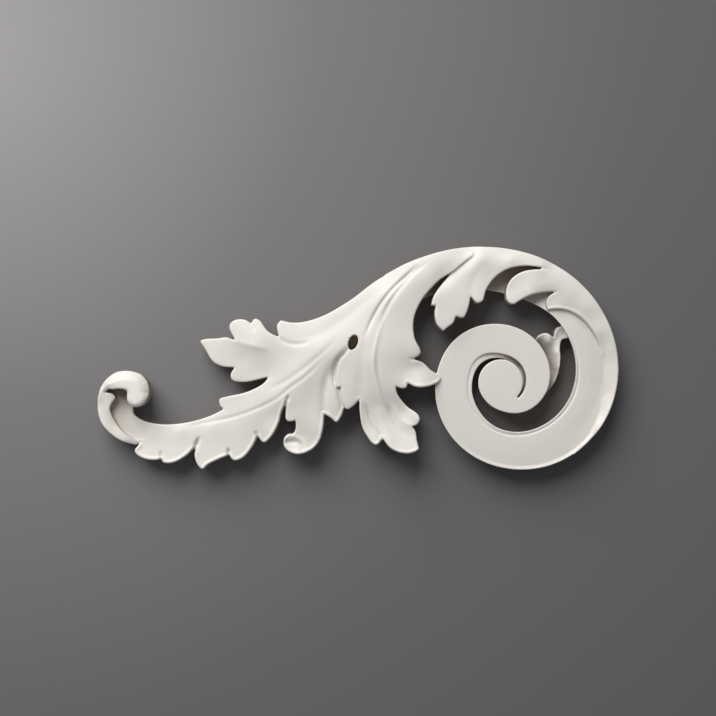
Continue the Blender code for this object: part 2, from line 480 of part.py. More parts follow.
def fused(meshes):
    """All the leaves and the volute grown into one skin, with any loose crumbs dropped."""
    bm = bmesh.new()
    for mesh in meshes:
        bm.from_mesh(mesh)
    whole = bpy.data.meshes.new("whole")
    bm.to_mesh(whole)
    bm.free()
    whole = with_modifier(whole, "REMESH", mode="VOXEL", voxel_size=GRAIN * UNIT)
    whole = with_modifier(whole, "SMOOTH", factor=0.5, iterations=2)
    bm = bmesh.new()
    bm.from_mesh(whole)
    islands = []
    waiting = set(bm.verts)
    while waiting:
        island = [waiting.pop()]
        for vert in island:
            fresh = [e.other_vert(vert) for e in vert.link_edges if e.other_vert(vert) in waiting]
            waiting.difference_update(fresh)
            island.extend(fresh)
        islands.append(island)
    islands.sort(key=len)
    bmesh.ops.delete(bm, geom=[v for island in islands[:-1] for v in island], context="VERTS")
    bm.to_mesh(whole)
    bm.free()
    return whole


def cut_flat(mesh):
    """The casting cut off on the wall plane and closed there."""
    bm = bmesh.new()
    bm.from_mesh(mesh)
    geometry = bm.verts[:] + bm.edges[:] + bm.faces[:]
    bmesh.ops.bisect_plane(bm, geom=geometry, plane_co=(0, 0, 0), plane_no=(0, 1, 0), clear_outer=True,
                           dist=1e-6)
    rim = [edge for edge in bm.edges if edge.is_boundary]
    bmesh.ops.triangle_fill(bm, edges=rim, use_beauty=True, normal=(0, 1, 0))
    bmesh.ops.recalc_face_normals(bm, faces=bm.faces)
    bm.to_mesh(mesh)
    bm.free()


def thinned(mesh):
    """The same surface in fewer triangles, with the back pressed exactly flat again."""
    mesh.calc_loop_triangles()
    ratio = TRIANGLES / len(mesh.loop_triangles)
    mesh = with_modifier(mesh, "DECIMATE", ratio=ratio, use_collapse_triangulate=True)
    for vert in mesh.vertices:
        if vert.co.y > -0.02 * RISE:
            vert.co.y = 0
    return mesh


def eye_cutter(collection):
    bpy.ops.mesh.primitive_cylinder_add(vertices=24, radius=0.5, depth=1)
    cutter = bpy.context.object
    cutter.name = "eye_cutter"
    for owner in cutter.users_collection:
        owner.objects.unlink(cutter)
    collection.objects.link(cutter)
    cutter.scale = (EYE_SHORT, EYE_LONG, 2 * EYE_DEPTH)
    cutter.rotation_euler = (math.radians(90), -EYE_LEAN, 0)
    cutter.location = (EYE_CENTRE[0] * UNIT, -CREST, EYE_CENTRE[1] * UNIT)
    cutter.hide_render = True
    cutter.display_type = "WIRE"
    return cutter


def cast_resin():
    material = bpy.data.materials.new("primed_cast_resin")
    material.use_nodes = True
    shader = material.node_tree.nodes["Principled BSDF"]
    shader.inputs["Base Color"].default_value = (0.80, 0.78, 0.74, 1)
    shader.inputs["Roughness"].default_value = 0.6
    shader.inputs["Metallic"].default_value = 0
    return material


def clear_scene():
    for obj in list(bpy.data.objects):
        bpy.data.objects.remove(obj)


def main():
    clear_scene()
    model = bpy.data.collections.new("decorative_onlay")
    helpers = bpy.data.collections.new("cutters")
    bpy.context.scene.collection.children.link(model)
    bpy.context.scene.collection.children.link(helpers)
    leaves = [LONG_LEAF, SHORT_LEAF, sheath(), BUD, CURL_RIM, ROLL]
    casting = fused([volute()] + [carved_plate(leaf) for leaf in leaves])
    cut_flat(casting)
    casting = thinned(casting)
    casting.name = "onlay"
    onlay = bpy.data.objects.new("onlay", casting)
    model.objects.link(onlay)
    onlay.data.materials.append(cast_resin())
    bore = onlay.modifiers.new("eye", "BOOLEAN")
    bore.operation = "DIFFERENCE"
    bore.object = eye_cutter(helpers)


main()
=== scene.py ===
# Decorative onlay: a white cast acanthus scroll with a volute, fixed flat to a grey wall
# it is drawn along (u) and up (w) in hundredths of its length, with heights in sevenths of its relief
import math
import bmesh
import bpy
import numpy as np
from mathutils import Matrix, Vector
from mathutils.kdtree import KDTree


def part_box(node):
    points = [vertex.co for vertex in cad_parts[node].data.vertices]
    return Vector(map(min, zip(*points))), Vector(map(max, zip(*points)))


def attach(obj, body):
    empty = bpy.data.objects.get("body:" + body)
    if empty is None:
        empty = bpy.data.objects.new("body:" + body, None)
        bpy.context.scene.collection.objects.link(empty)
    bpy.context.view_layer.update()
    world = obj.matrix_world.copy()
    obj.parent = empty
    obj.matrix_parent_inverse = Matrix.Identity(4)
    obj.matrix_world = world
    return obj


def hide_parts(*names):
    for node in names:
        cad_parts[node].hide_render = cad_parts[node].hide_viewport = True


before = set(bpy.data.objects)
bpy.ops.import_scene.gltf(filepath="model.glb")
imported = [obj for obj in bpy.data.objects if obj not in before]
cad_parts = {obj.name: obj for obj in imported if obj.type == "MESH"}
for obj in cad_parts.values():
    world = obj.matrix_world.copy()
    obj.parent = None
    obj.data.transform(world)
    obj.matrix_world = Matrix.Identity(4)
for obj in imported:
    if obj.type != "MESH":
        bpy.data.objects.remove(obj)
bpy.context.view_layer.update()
cadLow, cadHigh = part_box("onlay")
unit = (cadHigh.x - cadLow.x) / 100  # one hundredth of the length, about 3 mm
rise = (cadHigh.y - cadLow.y) / 7  # one seventh of the relief, about 3 mm
print("frame loaded")

drawing = {  # lengths in drawing units
    "grain": 0.13,  # spacing of the surface points
    "slabStep": 0.4,  # spacing of the points along a slab's outline
    "edgeStep": 0.12,  # and along the outline that the way in from the edge is measured from
    "strokeStep": 0.25,  # and along a stroke of the tool
    "blend": 0.6,  # one kind of edge passes into the next over this length on each side
    "touch": 0.05,  # points nearer than this are one
    "slab": 4,  # thickness of the slab that a leaf starts as
    "rimInset": 0.32,  # how far in from the edge the crest of its rim runs
    "rimWidth": 0.28,
    "leastLeaf": 0.6,  # a leaf is nowhere thinner than this
    "lap": 0.8,  # how far everything runs on behind the wall before it is cut off
    "undercut": 1.6,  # width of the hollow cut behind a leaf's edge
    "leadIn": 0.25,  # a stroke of the tool deepens over this share of its length
    "leadOut": 0.3,  # and runs out over this share of it
    "mostTriangles": 185000,
}


def addObject(name, data):
    made = bpy.data.objects.new(name, data)
    bpy.context.scene.collection.objects.link(made)
    return made


def meshFrom(bm, name):
    mesh = bpy.data.meshes.new(name)
    bm.to_mesh(mesh)
    bm.free()
    return mesh


def perPoint(mesh, kind):
    # the place ("co") or the normal of every point
    values = np.empty(len(mesh.vertices) * 3, np.float32)
    mesh.vertices.foreach_get(kind, values)
    return values.reshape(-1, 3)


def turned(axis, degrees):
    return Matrix.Rotation(math.radians(degrees), 3, axis)


def withModifier(mesh, kind, **settings):
    # the mesh as one modifier leaves it
    holder = addObject("holder", mesh)
    modifier = holder.modifiers.new(kind.title(), kind)
    for name, value in settings.items():
        setattr(modifier, name, value)
    depsgraph = bpy.context.evaluated_depsgraph_get()
    made = bpy.data.meshes.new_from_object(holder.evaluated_get(depsgraph))
    bpy.data.objects.remove(holder)
    return made


def smoothLine(points, step):
    # a centripetal Catmull-Rom spline through all the points
    p = np.array(points, float)
    p = np.vstack([2 * p[0] - p[1], p, 2 * p[-1] - p[-2]])
    line = []
    for a, b, c, d in zip(p, p[1:], p[2:], p[3:]):
        tb = np.linalg.norm(b - a) ** 0.5
        tc = tb + np.linalg.norm(c - b) ** 0.5
        td = tc + np.linalg.norm(d - c) ** 0.5
        count = max(1, round(np.linalg.norm(c - b) / step))
        t = np.linspace(tb, tc, count, endpoint=False)[:, None]
        ab = (tb - t) / tb * a + t / tb * b
        bc = (tc - t) / (tc - tb) * b + (t - tb) / (tc - tb) * c
        cd = (td - t) / (td - tc) * c + (t - tc) / (td - tc) * d
        abc = (tc - t) / tc * ab + t / tc * bc
        bcd = (td - t) / (td - tb) * bc + (t - tb) / (td - tb) * cd
        line.append((tc - t) / (tc - tb) * abc + (t - tb) / (tc - tb) * bcd)
    line.append(p[-2:-1])
    return np.vstack(line)


edgeKinds = {  # height of the rim along the edge, how far the very edge drops, and over what width
    "crisp": (0, 0.12, 0.3),
    "lobe": (0.16, 0.15, 0.3),
    "soft": (0, 0.5, 0.9),
    "round": (0, 1.2, 2),
    "fat": (0, 1.3, 2),
    "flush": (0, 0, 0.3),  # a seam where two forms run into each other
}


def outlineOf(runs, step):
    # each run is one smooth stretch of edge and its kind; it starts where the last one ended
    edge, kinds, start = [], [], []
    for kind, points in runs:
        line = smoothLine(start + points, step)[len(start):]
        start = [tuple(line[-1])]
        edge.append(line)
        kinds += [edgeKinds[kind]] * len(line)
    edge, kinds = np.vstack(edge), np.array(kinds)
    if np.linalg.norm(edge[0] - edge[-1]) < drawing["touch"]:
        edge, kinds = edge[:-1], kinds[:-1]
    blend = max(1, round(drawing["blend"] / step))
    kinds = sum(np.roll(kinds, shift, axis=0) for shift in range(-blend, blend + 1)) / (2 * blend + 1)
    return edge, kinds


def surfaceThrough(spots):
    # a thin plate bent through the heights of the spots
    spots = np.array(spots, float)

    def bend(places):
        gap = ((places[:, None] - spots[None, :, :2]) ** 2).sum(2)
        return gap * np.log(gap + 1e-9)

    def tilt(places):
        return np.column_stack([np.ones(len(places)), places])

    known = tilt(spots[:, :2])
    system = np.block([[bend(spots[:, :2]), known], [known.T, np.zeros((3, 3))]])
    weights = np.linalg.solve(system, np.append(spots[:, 2], [0, 0, 0]))
    return lambda places: bend(places) @ weights[:-3] + tilt(places) @ weights[-3:]


def toolMark(height, places, depth, width, points):
    # one stroke of the carving tool; a depth below nothing raises a ridge
    line = smoothLine(points, drawing["strokeStep"])
    reach = 3 * width  # past this the stroke is too faint to matter
    near = ((places > line.min(0) - reach) & (places < line.max(0) + reach)).all(1)
    if not near.any():
        return
    gaps = ((places[near][:, None] - line[None]) ** 2).sum(2)
    share = gaps.argmin(1) / (len(line) - 1)  # how far along the stroke
    fade = np.clip(np.minimum(share / drawing["leadIn"], (1 - share) / drawing["leadOut"]), 0, 1)
    fade = fade * fade * (3 - 2 * fade)
    height[near] -= depth * fade * np.exp(-gaps.min(1) / width ** 2)


def evenPlate(edge, thickness):
    # the outline filled and pushed up into a slab, then covered evenly with points
    bm = bmesh.new()
    corners = [bm.verts.new((u, w, 0)) for u, w in edge]
    ring = [bm.edges.new((a, b)) for a, b in zip(corners, corners[1:] + corners[:1])]
    bmesh.ops.triangle_fill(bm, edges=ring, use_beauty=True)
    pushed = bmesh.ops.extrude_face_region(bm, geom=bm.faces[:])
    top = [v for v in pushed["geom"] if isinstance(v, bmesh.types.BMVert)]
    bmesh.ops.translate(bm, verts=top, vec=(0, 0, thickness))
    bmesh.ops.recalc_face_normals(bm, faces=bm.faces)
    return withModifier(meshFrom(bm, "slab"), "REMESH", mode="VOXEL", voxel_size=drawing["grain"])


def carve(leaf):
    # an even slab in the leaf's outline, whose points are then set at the leaf's heights
    mesh = evenPlate(outlineOf(leaf["edge"], drawing["slabStep"])[0], drawing["slab"])
    points = perPoint(mesh, "co").astype(float)
    places = points[:, :2]
    share = np.clip(points[:, 2] / drawing["slab"], 0, 1)  # 0 at the slab's back, 1 at its front

    border, kinds = outlineOf(leaf["edge"], drawing["edgeStep"])
    tree = KDTree(len(border))
    for index, (u, w) in enumerate(border):
        tree.insert((u, w, 0), index)
    tree.balance()
    found = [tree.find((u, w, 0)) for u, w in places]
    inward = np.array([f[2] for f in found])
    rim, drop, bevel = kinds[[f[1] for f in found]].T

    height = surfaceThrough(leaf["spots"])(places)
    for depth, width, line in leaf["marks"]:
        toolMark(height, places, depth, width, line)
    height += rim * np.exp(-((inward - drawing["rimInset"]) / drawing["rimWidth"]) ** 2)
    height -= drop * (1 - np.minimum(inward / bevel, 1)) ** 2
    lap = drawing["lap"]
    back = -lap + (leaf["backCut"] + lap) * (1 - np.minimum(inward / drawing["undercut"], 1))
    top = np.maximum(height, back + drawing["leastLeaf"])
    depth = back + (top - back) * share
    placed = np.column_stack([places[:, 0] * unit, -depth * rise, places[:, 1] * unit])
    mesh.vertices.foreach_set("co", placed.astype(np.float32).ravel())
    return mesh


# the leaves share one set of heights, so that they meet without steps where the casting has none
leafSpots = [
    (0, 8.5, 4.8), (-5, 5, 4.6), (-10, 2, 4.5), (-15, -0.1, 4.3), (-20, -0.3, 4.2),  # the long upper edge
    (0, 5, 6.1), (4, 8, 6.4), (3, 2, 6.5), (5.4, -1.5, 6.4), (7.5, 4.4, 6.5), (0, -3, 6.5),  # body
    (-3, 0, 5.9), (-7, 0.5, 5.25), (-12, -1.5, 4.95), (-17, -2, 4.65), (-6, -4, 6.2), (-3, -8, 6.6),
    (6.3, -6.9, 6.2), (-9.3, -9, 5.9), (-8.7, -12.5, 5.9), (-7.3, -16.3, 5.8), (-5, -12, 6.1),
    (-4.7, -16, 5.7), (-3.8, -19.5, 5.4), (-1.7, -23, 5.9), (-1, -14, 6), (1, -18, 5.2),  # short leaf
    (2.5, -20.5, 5.5), (2, -22.5, 5.9), (3.5, -25, 6.5), (6, -24.2, 6.2), (5.5, -21.8, 5.7),
    (6.3, -18.8, 6.1), (4, -17.3, 5.3), (2.5, -12.7, 6.2), (7, -8.3, 5.6), (7, -10.5, 5.9),
    (7, -12.6, 6.5), (4.5, -9.5, 6), (9.3, -10, 5.2), (10.5, -11.5, 5),
    (-25, 0, 4), (-29.3, -1, 3.9), (-25, -4.7, 4.9), (-35, -4, 3.4), (-33, -8, 3.9),  # upper lobes
    (-30, -6, 4.1), (-27, -6.8, 4.2), (-29, -9, 4.2), (-29, -11.2, 4.3), (-22.6, -10.5, 4.55),
    (-18, -7, 5.2), (-12, -6, 6), (-15.5, -11.3, 5.9), (-20.4, -15.4, 5.4), (-25, -17.7, 5),  # stem
    (-33, -20.2, 4.4), (-39, -21, 4), (-44, -21.2, 3.5), (-26.7, -13.6, 4.4), (-31, -15.2, 4),
    (-34, -18.3, 3.8), (-40, -19.7, 3.5), (-50.5, -15, 2.8), (-49.5, -17.5, 3), (-48.5, -20, 3.1),
    (-46.5, -21.7, 3.2), (-51.8, -18, 3.1), (-48.2, -17.2, 3), (-46, -19.4, 3.2),  # channel at the left end
    (-22.5, -19, 4.95), (-27.5, -21.5, 4.85), (-33, -23, 4.5), (-39, -23.3, 4.1), (-44.5, -23.6, 3.6),
    (-21.3, -21.5, 5.1), (-23, -22.9, 4.9), (-28.3, -26.2, 5), (-35, -28, 4.9), (-41, -27, 4.45),
    (-46.8, -26, 3.9),  # lower lobes
    (-13.5, -12, 5.7), (-15, -16, 5.5), (-15, -20, 5.3), (-17.8, -18.5, 5.2), (-12.3, -20.5, 5.5),
    (-14, -24.3, 5.1), (-17.3, -23.8, 4.8), (-17, -25.4, 5.4), (-18.9, -22.6, 4.9), (-10.5, -13, 5.6),
    (-9.4, -18.8, 5.3), (-19.4, -18, 5),
    (16, 13.8, 4.85), (24, 13.3, 4.85), (32, 10.6, 4.8), (38.2, 6, 5.1), (42, 0.5, 5.1),  # husk
    (12, 11.5, 6.05), (18, 12, 5.95), (24, 11.6, 5.9), (30, 10.5, 5.4), (33, 8.5, 5.3), (36, 5.5, 5.45),
    (38.5, 2.5, 5.4), (41, -2, 5.1), (13, 6, 6.3), (11.5, 2, 6.4), (11.2, -1.6, 6.5), (14.7, 1, 6.4),
    (18, 3.8, 6.4), (17, 8, 6.1), (20, 9, 5.9), (26, 10.2, 5.8), (27, 7.8, 6), (30, 8, 5.7), (24, 6, 5.8),
    (24.2, 3.4, 6.1), (28, 5.2, 6.25), (31, 5.6, 5.6), (31.3, 4.3, 5.2), (33, 3, 5.2), (35.5, 1.8, 5.05),
    (38.5, -0.4, 4.95), (40.3, -3, 4.8), (41.2, -5, 4.4),
    (44.5, -6, 4.9), (44.8, -9.5, 4.75), (44.2, -13.5, 4.65), (42.9, -17.5, 4.85), (41, -20.6, 5),
    (37.5, -24.6, 4.9), (43, -6, 4.7), (43.1, -10, 4.35), (42.6, -14, 4.15), (41.7, -17.5, 4.35),  # its tail
    (41.5, -7, 4.1), (41.8, -9, 4), (41.75, -12, 3.95), (41.5, -15, 4.05), (40.8, -18.5, 4.2),
    (39.4, -21.6, 4.3), (11, 8.3, 6.1), (9, 8.5, 6.6),
]

leafMarks = [  # depth, width and line of each stroke
    (0.11, 1.0, [(3.5, 9.2), (-0.3, 6.2), (-4.7, 2.8), (-9, -0.6), (-14, -3.2), (-20.3, -3.4)]),
    (0.40, 0.35, [(7.2, 11.1), (6.3, 10.5), (3.9, 8.2), (1.2, 5.6), (-0.8, 3), (-2.4, 0.2), (-3.6, -2.5),
                  (-4.3, -4.4)]),
    (0.24, 0.4, [(8.6, 11), (6.8, 10.1), (4.2, 7.6), (1.8, 4.6), (0.2, 1.9), (-1.2, -2)]),
    (-0.16, 0.35, [(0.9, 2.2), (-0.6, -0.8), (-1.7, -4.5), (-2.2, -8), (-1.9, -10.5), (-1.3, -13),
                   (-0.4, -15.8), (0.6, -18.3), (2.2, -20.8), (4.4, -22.6)]),
    (0.10, 0.5, [(-1.3, -5), (-1.2, -10.5), (-0.6, -13), (0.4, -16), (1.2, -18.5)]),
    (0.12, 1.0, [(-4, -2), (-4.5, -10), (-5, -15.3), (-5.1, -19)]),
    (0.38, 0.35, [(-3.9, -15.5), (-2.4, -20), (-1, -22.4), (-0.6, -25.5)]),
    (-0.20, 0.8, [(-1.6, -16), (0, -20.5), (2, -25.5)]),
    (0.22, 0.5, [(0.2, -15.5), (2.2, -20), (5, -23)]),
    (-0.15, 0.5, [(1.3, -15.5), (3.3, -19.2), (7, -21)]),
    (0.20, 0.3, [(4.3, -7.3), (5.4, -7.5), (8, -7.5)]),
    (0.12, 0.5, [(-8.6, -3), (-12, -6.3), (-16, -9.6), (-20, -12.2), (-24, -13.8)]),
    (0.13, 0.35, [(-9.5, -5.2), (-12, -7.7), (-15.3, -10.9), (-18.1, -12.9), (-20.7, -15), (-24.2, -16.8),
                  (-28.9, -18.5), (-33.6, -19.5), (-38.2, -20.3), (-42, -20.6)]),
    (-0.12, 0.6, [(-21.5, -5.6), (-23.5, -5.3), (-26.5, -4.6), (-31, -3.2)]),
    (0.16, 0.4, [(-14, -4), (-16.5, -4.6), (-18.8, -4.3), (-21.5, -2.6)]),
    (0.12, 0.4, [(-24.8, -2.4), (-25.7, -0.8), (-26.2, 1)]),
    (0.85, 0.35, [(-35.4, -22), (-36.4, -24.5), (-37.2, -26.5), (-38.2, -30)]),
    (0.40, 0.25, [(-43.1, -24.7), (-42.9, -26.6), (-42.6, -30)]),
    (0.60, 0.3, [(-30, -24.2), (-29.9, -25.9), (-29.9, -29.5)]),
    (0.60, 0.3, [(-24.9, -21), (-24.4, -22.4), (-23.6, -26.4)]),
    (0.60, 0.3, [(-18.2, -14), (-18.9, -16), (-19.6, -20)]),
    (0.25, 0.8, [(-9.5, -7), (-11.5, -13), (-11.7, -18), (-11.8, -21.5)]),
    (-0.15, 0.4, [(-14.9, -27.5), (-15.3, -24), (-15.9, -23), (-17.2, -22.4), (-18.8, -22.6),
                  (-20.5, -23.5)]),
    (0.24, 0.4, [(-15.3, -27.5), (-16.1, -24.3), (-16.8, -23.4), (-18, -23.3), (-21, -24)]),
    (0.08, 0.9, [(21, 11.4), (18.4, 9.9), (16.8, 7.6), (16.3, 4.5), (16.2, 1.5)]),
]

longLeaf = {  # the stem with its lobes, from the top of the arch to the rolled end
    "edge": [
        ("crisp", [(12, 13.4), (4.85, 11), (-1.45, 7.7), (-6.55, 3.9), (-11.7, 0.9), (-15.5, -0.3),
                   (-18, -0.45), (-20, 0)]),
        ("crisp", [(-20.7, -1), (-20.3, -3.3)]),
        ("crisp", [(-22.4, -2.15), (-24.1, 0), (-25, 0.3), (-25.7, -0.6)]),
        ("crisp", [(-26.9, 0.1), (-28.9, 0), (-29.9, -1.1), (-28.7, -3.95)]),
        ("crisp", [(-30.4, -3.3), (-32.2, -3.5), (-34.4, -3.6), (-35.5, -4), (-34.6, -5.5), (-33, -8),
                   (-31.2, -8.9), (-28.8, -9.1)]),
        ("crisp", [(-29.6, -10.4), (-29.3, -11.5), (-27, -11.9), (-22.2, -10.9)]),
        ("crisp", [(-23.5, -12.3), (-26.7, -13.85), (-30, -14.6), (-31.8, -15.2), (-31.6, -16.5),
                   (-30.9, -17.1)]),
        ("crisp", [(-34, -18.55), (-38, -19.65), (-42, -20.05), (-45, -19.75), (-46.95, -19.1),
                   (-48.35, -18), (-48.5, -16.6), (-48.8, -14), (-50.5, -12)]),
        ("crisp", [(-53, -11.8), (-54.8, -15.5), (-54.8, -18), (-51.9, -22), (-47.6, -23.8),
                   (-46.8, -23.4)]),
        ("lobe", [(-48.1, -25), (-47.8, -25.7), (-46.3, -26.6), (-44.3, -26.9), (-42.9, -26.7)]),
        ("lobe", [(-42.7, -27.2), (-41.7, -27.5), (-40.1, -27.2), (-38.2, -26.1), (-36.5, -24.5)]),
        ("lobe", [(-36.5, -26), (-35.9, -27.7), (-34.9, -28.6), (-34, -27.8), (-32.3, -26.9),
                  (-29.9, -25.9)]),
        ("lobe", [(-28.9, -26.9), (-27.2, -26.4), (-25.4, -24.3), (-24.4, -22.3)]),
        ("lobe", [(-23.2, -23.5), (-21.7, -22.3), (-20.3, -19.6), (-19.8, -17.7), (-18.9, -15.7)]),
        ("crisp", [(-19.1, -17.8), (-18.95, -19), (-18.6, -19.4), (-17.4, -19.3), (-17.1, -19.1)]),
        ("crisp", [(-17.05, -20.3), (-17.25, -21.3), (-17.7, -21.8)]),
        ("lobe", [(-18.5, -21.8), (-19.3, -22.6), (-19.35, -24), (-18.5, -25.1), (-16.6, -25.7),
                  (-15.2, -25.4), (-13.7, -24.6), (-12.5, -23.1), (-11.8, -20.6), (-11.6, -18)]),
        ("lobe", [(-10.3, -18.8), (-9.3, -19.6), (-8.3, -18.4), (-7.8, -17)]),
        ("crisp", [(-5, -12), (-3, -6), (4, 6), (9, 10), (12, 13.4)]),
    ],
    "spots": leafSpots,
    "marks": leafMarks + [
        (0.8, 0.7, [(-5.5, -4), (-7.1, -5.9), (-8.9, -8.1), (-9.5, -10.8), (-8.6, -13.5), (-7.8, -17),
                    (-7.2, -20.5)]),  # along the short leaf's edge, where this one dips under it
    ],
    "backCut": 2.0,
}

shortLeaf = {  # the leaf that lies over the long one and falls to the volute
    "edge": [
        ("crisp", [(0, 8.7), (4, 10.8), (8, 12.3), (12, 13.4), (16, 14)]),
        ("crisp", [(17, 12.6), (15.4, 11.2), (13, 9.2)]),
        ("crisp", [(11.6, 8.4), (10.4, 7.6), (8.7, 5.9), (6.9, 3.6), (5.5, 0.2), (5.6, -3.3), (6.8, -6.3),
                   (5.4, -7.5)]),
        ("crisp", [(7.2, -8.1), (8.8, -9.6), (10.4, -10.6), (10.8, -11.2)]),
        ("lobe", [(10.4, -11.8), (9, -12.5), (7, -12.9), (5.5, -12.7), (4.3, -12)]),
        ("crisp", [(4.1, -12.9), (3.2, -13.1), (2, -12.6)]),
        ("crisp", [(2.4, -14.2), (4.3, -16.6), (6.25, -18), (6.65, -19), (6.1, -20), (5.1, -20.3)]),
        ("crisp", [(5.8, -21.2), (6.1, -23), (6.5, -24.6)]),
        ("lobe", [(5.9, -25.1), (4.3, -25.5), (2.4, -25.2), (0.8, -24.3), (-0.5, -22.6)]),
        ("lobe", [(-1, -23.5), (-1.7, -23.9), (-2.4, -23.6), (-3.5, -22.15), (-4.35, -20.5), (-4.85, -17.5),
                  (-4.9, -15.2)]),
        ("crisp", [(-6.1, -16.5), (-7.3, -17.1), (-8.1, -15.8), (-8.5, -13.5), (-8.3, -12.7)]),
        ("crisp", [(-9.2, -12.9), (-9.4, -10.8), (-8.8, -8.1), (-7, -5.9)]),
        ("flush", [(-5.6, -3.5), (-4, 0), (0, 8.7)]),
    ],
    "spots": leafSpots,
    "marks": leafMarks,
    "backCut": 2.0,
}

volute = {
    "centre": (22.6, -12.2),
    "start": 135,  # degrees, at the upper left; it winds clockwise
    "eighth": 45,  # degrees from each radius below to the next
    "curveStep": 3,  # degrees between the points of the smooth curve through them
    # radii of the band's outer edge, of its inner edge, and of the step where the ledge starts
    "outer": [28.9, 26, 23.95, 21.95, 19.1, 16.15, 14.15, 12.95, 12.5, 11.4, 10.2, 8.85, 7.1, 5.35, 4.7,
              4.75, 4.85, 4.65, 4.15, 3.8, 3.66],
    "inner": [22.5, 17.45, 15.8, 13.7, 11.1, 8.8, 6.75, 5.9, 5.65, 4.8, 4.15, 3.8, 3.66],
    "step": [23.3, 18.3, 16.2, 14.5, 11.85, 9.7, 7.75, 6.8, 6.9, 5.6, 4.9, 4.3, 3.9],
    "hubInner": 0.02,  # inner and step once the band has closed into the hub
    "hubStep": 0.3,
    # by angle: height of the face
    "face": [(-405, 4.95), (-90, 4.6), (0, 4.4), (40, 4.65), (56, 4.6), (70, 3.3), (90, 2.4), (135, 2.2)],
    "dish": [(-180, 0), (-90, 0.05), (-45, 0.15), (0, 0.45), (60, 0.25)],  # how far it is hollowed
    "deepest": 0.4,  # share of the way from the outer edge to the step at which it is hollowed most
    "easing": 0.25,  # share of the hollow left halfway from there to the step
    "lip": [(-200, 0), (-120, 0.12), (-45, 0.3)],  # how far the outer edge stands up past the face
    "lipWidth": 0.75,
    # how far the ledge along the inner edge lies below the face, and the least depth of the line beside it
    "ledge": [(-315, 2.2), (-270, 0.8), (-225, 0.25), (-180, 0), (-90, -0.08)],
    "groove": [(20, 0.15), (60, 0)],
    "bevel": 0.1,  # width and height of the small bevels
    "undercut": 0.6,  # how far the band's back is narrower on each side
    "overrun": 14,  # degrees that the hub laps over itself
    "stations": 460,  # rows of points along the band
    "rows": 3,  # of points across each stretch of its profile
}


def voluteRadius(name, angle):
    radii = [(volute["start"] - volute["eighth"] * k, r) for k, r in enumerate(volute[name])]
    curve = smoothLine(radii, volute["curveStep"])
    return float(np.interp(-angle, -curve[:, 0], curve[:, 1]))


def volutePoint(radius, angle):
    turn = math.radians(angle)
    return (volute["centre"][0] + radius * math.cos(turn), volute["centre"][1] + radius * math.sin(turn))


# past this angle the band's inner edge has closed up
hubAngle = volute["start"] - volute["eighth"] * (len(volute["inner"]) - 1)


def bandProfile(angle):
    # radius and height across the band, from its outer edge to its inner one
    face, dish, lip, ledge, groove = (np.interp(angle, *zip(*volute[name])) for name in
                                      ("face", "dish", "lip", "ledge", "groove"))
    outer = voluteRadius("outer", angle)
    if angle >= hubAngle:
        inner, step = voluteRadius("inner", angle), voluteRadius("step", angle)
        groove = max(ledge, groove)
    else:
        inner, step, ledge, groove = volute["hubInner"], volute["hubStep"], 0, 0
    deepest = outer - (outer - step) * volute["deepest"]
    eased = (deepest + step) / 2
    bevel = volute["bevel"]
    return np.array([
        (outer, face - bevel), (outer - bevel, face), (outer - volute["lipWidth"], face - lip),
        (deepest, face - dish), (eased, face - dish * volute["easing"]), (step + bevel, face),
        (step - bevel, face - groove), (inner + bevel, face - ledge), (inner, face - ledge - bevel),
    ])


def makeVolute():
    # a flat grid wound round the centre, lifted to the band's profile and pushed back past the wall
    lastAngle = volute["start"] - volute["eighth"] * (len(volute["outer"]) - 1) - volute["overrun"]
    stretches = len(bandProfile(0)) - 1
    bm = bmesh.new()
    bmesh.ops.create_grid(bm, x_segments=volute["stations"], y_segments=stretches * volute["rows"], size=0.5)
    backPlace = bm.verts.layers.float_vector.new("backPlace")
    profiles = {}
    for vert in bm.verts:
        angle = volute["start"] + (lastAngle - volute["start"]) * round(vert.co.x + 0.5, 6)
        if angle not in profiles:
            profiles[angle] = bandProfile(angle)
        across = (vert.co.y + 0.5) * stretches
        radius = np.interp(across, range(stretches + 1), profiles[angle][:, 0])
        height = np.interp(across, range(stretches + 1), profiles[angle][:, 1])
        side = 1 - 2 * across / stretches  # 1 at the outer edge, -1 at the inner one
        inset = volute["undercut"] * (max(side, 0) if angle < hubAngle else side)
        backU, backW = volutePoint(radius - inset, angle)
        vert[backPlace] = (backU * unit, drawing["lap"] * rise, backW * unit)
        u, w = volutePoint(radius, angle)
        vert.co = (u * unit, -height * rise, w * unit)
    pushed = bmesh.ops.extrude_face_region(bm, geom=bm.faces[:])
    for vert in pushed["geom"]:
        if isinstance(vert, bmesh.types.BMVert):
            vert.co = vert[backPlace]
    bmesh.ops.recalc_face_normals(bm, faces=bm.faces)
    return meshFrom(bm, "volute")


